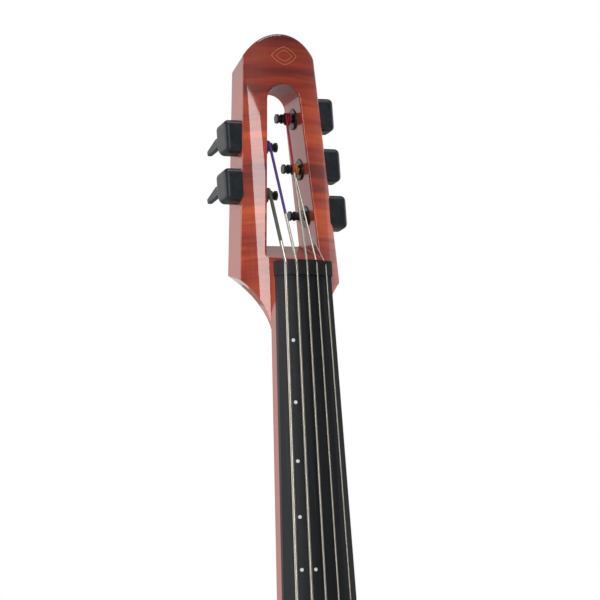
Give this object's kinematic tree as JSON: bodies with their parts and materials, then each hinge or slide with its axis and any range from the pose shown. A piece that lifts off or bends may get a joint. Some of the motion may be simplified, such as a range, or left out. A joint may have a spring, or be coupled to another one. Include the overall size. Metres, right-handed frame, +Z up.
{
  "type": "electric double bass",
  "caption": "Slim electric double bass with slotted head, lever tuning machines, crowned fingerboard, bridge, tailpiece and onboard electronics.",
  "frame": {"origin": "middle of the stand plate's outer face on the back of the body", "axes": "+Z up along the strings towards the head, -Y the playing side, +X to the right seen from the front"},
  "size_m": [0.2, 0.1246, 1.4342],
  "materials": {
    "red_maple": "gloss",
    "red_maple_plain": "gloss",
    "ebony": "satin",
    "black_composite": "gloss",
    "white_inlay": "gloss",
    "pale_maple": "satin",
    "black_plastic": "matte",
    "black_metal": "satin",
    "steel": "brushed",
    "brass": "satin",
    "chrome": "polished",
    "green_board": "gloss",
    "battery_can": "satin",
    "string_steel": "brushed"
  },
  "bodies": {
    "instrument": {"neck": "red_maple", "body_top": "red_maple", "body_back": "red_maple_plain", "fingerboard": "ebony", "nut": "black_composite", "position_dots": "white_inlay", "bridge": "pale_maple", "bridge_pickup": "black_plastic", "tailpiece": "black_metal", "truss_rod": "steel", "truss_rod_nut": "brass", "jack_socket": "chrome", "jack_plate": "black_metal", "circuit_board": "green_board", "battery_box": "black_plastic", "electronics_cover": "black_plastic", "wood_screws": "steel", "stand_plate": "steel", "neck_bolts": "steel", "potentiometers": "steel", "tuner_bushings": "black_metal", "tuner_covers": "black_metal", "tuner_housing_1": "black_metal", "string_1": "string_steel", "tuner_housing_2": "black_metal", "string_2": "string_steel", "tuner_housing_3": "black_metal", "string_3": "string_steel", "tuner_housing_4": "black_metal", "string_4": "string_steel", "tuner_housing_5": "black_metal", "string_5": "string_steel"},
    "key_1": {"tuner_key_1": "black_metal", "tuner_worm_1": "steel"},
    "post_1": {"tuner_post_1": "black_metal", "tuner_gear_1": "brass"},
    "key_2": {"tuner_key_2": "black_metal", "tuner_worm_2": "steel"},
    "post_2": {"tuner_post_2": "black_metal", "tuner_gear_2": "brass"},
    "key_3": {"tuner_key_3": "black_metal", "tuner_worm_3": "steel"},
    "post_3": {"tuner_post_3": "black_metal", "tuner_gear_3": "brass"},
    "key_4": {"tuner_key_4": "black_metal", "tuner_worm_4": "steel"},
    "post_4": {"tuner_post_4": "black_metal", "tuner_gear_4": "brass"},
    "key_5": {"tuner_key_5": "black_metal", "tuner_worm_5": "steel"},
    "post_5": {"tuner_post_5": "black_metal", "tuner_gear_5": "brass"},
    "volume_control": {"volume_knob": "black_plastic", "volume_shaft": "steel"},
    "tone_control": {"tone_knob": "black_plastic", "tone_shaft": "steel"},
    "battery_drawer": {"battery_drawer": "black_plastic", "battery": "battery_can"}
  },
  "joints": [
    {"name": "key_1_turn", "type": "hinge", "parent": "instrument", "child": "key_1", "pos_m": [-0.04975, -0.0547, 0.89387], "axis": [0, 0.999, -0.0454], "continuous": true},
    {"name": "post_1_turn", "type": "hinge", "parent": "instrument", "child": "post_1", "pos_m": [-0.02, -0.05521, 0.88268], "axis": [1, 0, 0], "continuous": true},
    {"name": "key_2_turn", "type": "hinge", "parent": "instrument", "child": "key_2", "pos_m": [-0.04672, -0.05265, 0.93902], "axis": [0, 0.999, -0.0454], "continuous": true},
    {"name": "post_2_turn", "type": "hinge", "parent": "instrument", "child": "post_2", "pos_m": [-0.02, -0.05316, 0.92783], "axis": [1, 0, 0], "continuous": true},
    {"name": "key_3_turn", "type": "hinge", "parent": "instrument", "child": "key_3", "pos_m": [0.04489, -0.05141, 0.96629], "axis": [0, 0.999, -0.0454], "continuous": true},
    {"name": "post_3_turn", "type": "hinge", "parent": "instrument", "child": "post_3", "pos_m": [0.02, -0.05192, 0.9551], "axis": [1, 0, 0], "continuous": true},
    {"name": "key_4_turn", "type": "hinge", "parent": "instrument", "child": "key_4", "pos_m": [0.04806, -0.05356, 0.91904], "axis": [0, 0.999, -0.0454], "continuous": true},
    {"name": "post_4_turn", "type": "hinge", "parent": "instrument", "child": "post_4", "pos_m": [0.02, -0.05407, 0.90785], "axis": [1, 0, 0], "continuous": true},
    {"name": "key_5_turn", "type": "hinge", "parent": "instrument", "child": "key_5", "pos_m": [0.05101, -0.05555, 0.87509], "axis": [0, 0.999, -0.0454], "continuous": true},
    {"name": "post_5_turn", "type": "hinge", "parent": "instrument", "child": "post_5", "pos_m": [0.02, -0.05606, 0.8639], "axis": [1, 0, 0], "continuous": true},
    {"name": "volume_turn", "type": "hinge", "parent": "instrument", "child": "volume_control", "pos_m": [0.048, -0.065, -0.15], "axis": [0, -1, 0], "range_deg": [-150, 150]},
    {"name": "tone_turn", "type": "hinge", "parent": "instrument", "child": "tone_control", "pos_m": [0.048, -0.065, -0.19], "axis": [0, -1, 0], "range_deg": [-150, 150]},
    {"name": "battery_drawer_slide", "type": "slide", "parent": "instrument", "child": "battery_drawer", "axis": [0, 0, -1], "range_m": [0, 0.055]}
  ],
  "couplings": [
    {"joint": "post_1_turn", "follows": "key_1_turn", "ratio": 0.0625},
    {"joint": "post_2_turn", "follows": "key_2_turn", "ratio": 0.0625},
    {"joint": "post_3_turn", "follows": "key_3_turn", "ratio": 0.0625},
    {"joint": "post_4_turn", "follows": "key_4_turn", "ratio": 0.0625},
    {"joint": "post_5_turn", "follows": "key_5_turn", "ratio": 0.0625}
  ]
}
